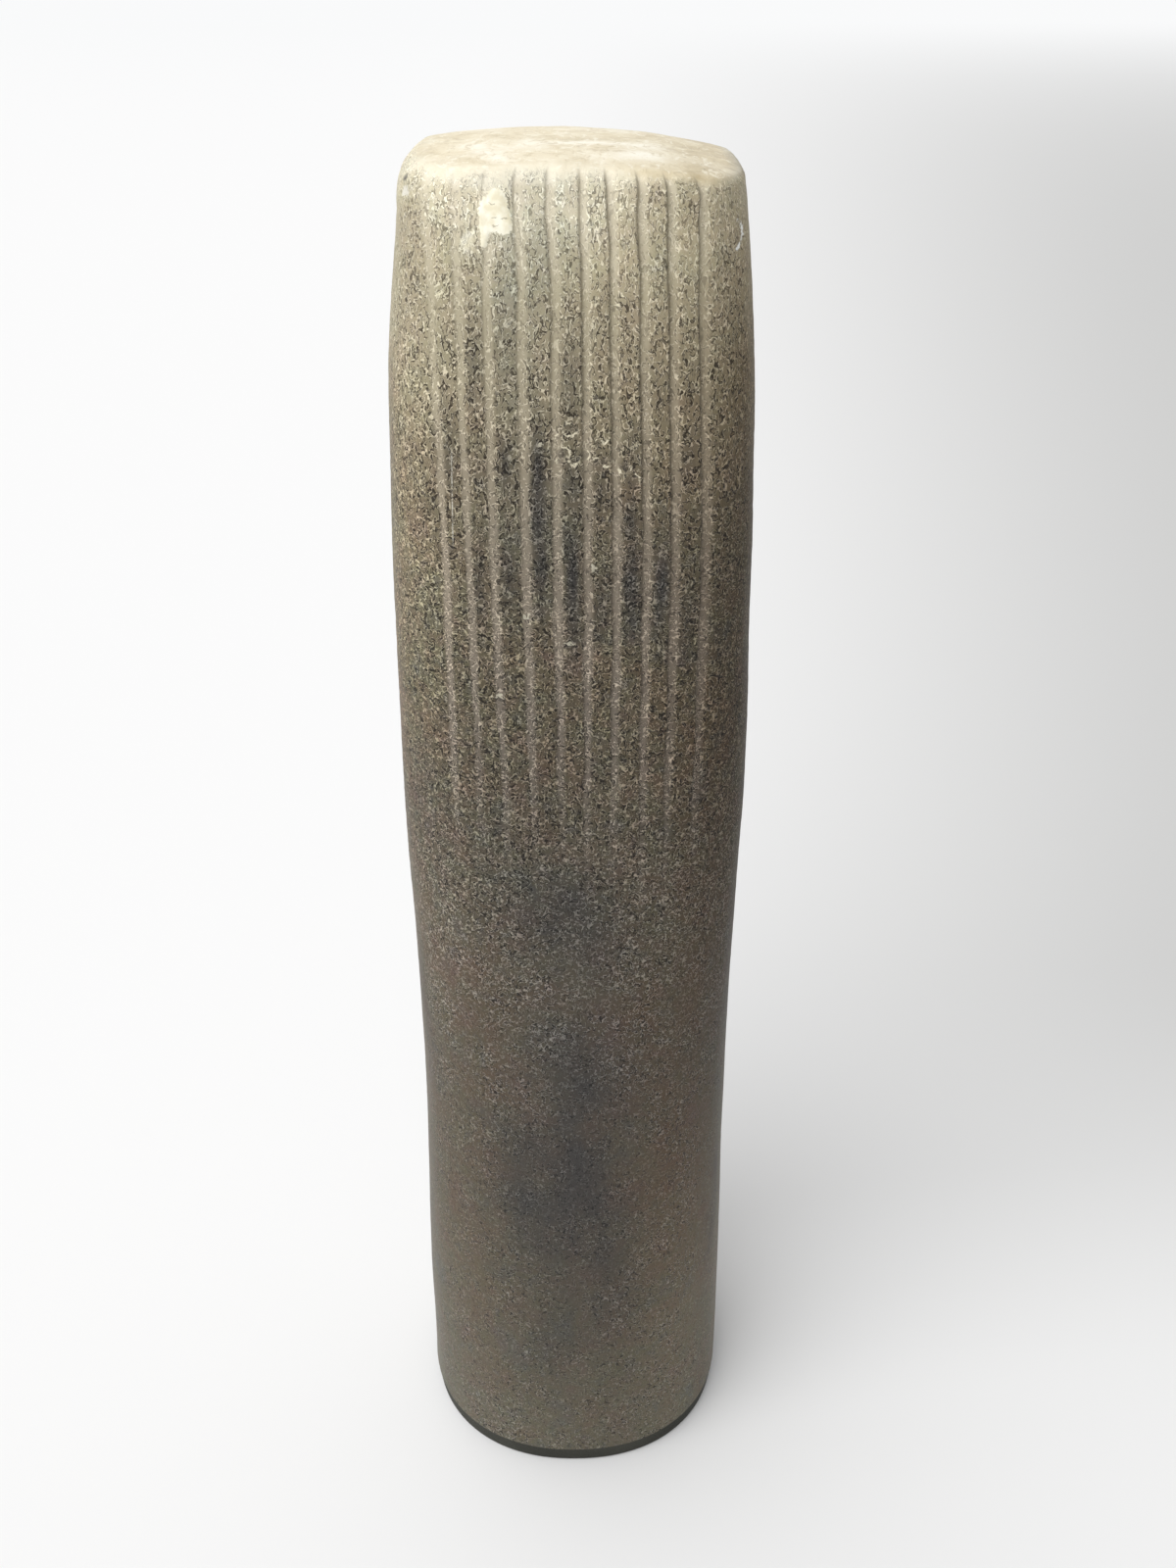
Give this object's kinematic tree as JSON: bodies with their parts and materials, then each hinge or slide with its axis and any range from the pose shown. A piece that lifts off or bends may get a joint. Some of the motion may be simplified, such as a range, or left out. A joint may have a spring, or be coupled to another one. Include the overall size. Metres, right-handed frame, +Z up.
{
  "type": "stone pounder",
  "caption": "Tall one-piece stone pounder: rounded-square head with a domed crown and a longitudinally grooved front face, tapering into a smooth near-elliptical grip with a flat base.",
  "frame": {"origin": "centre of the flat resting face at the foot of the bar", "axes": "+Z up along the bar towards the crown, -Y out of the grooved front face, +X to the right when facing the grooves"},
  "size_m": [0.0622, 0.064, 0.2557],
  "materials": {
    "stone": "ground and worn stone, rough and pitted on the head, satin on the grip, pale on the crown"
  },
  "bodies": {
    "root": {"pounder_stone": "stone"}
  },
  "joints": []
}
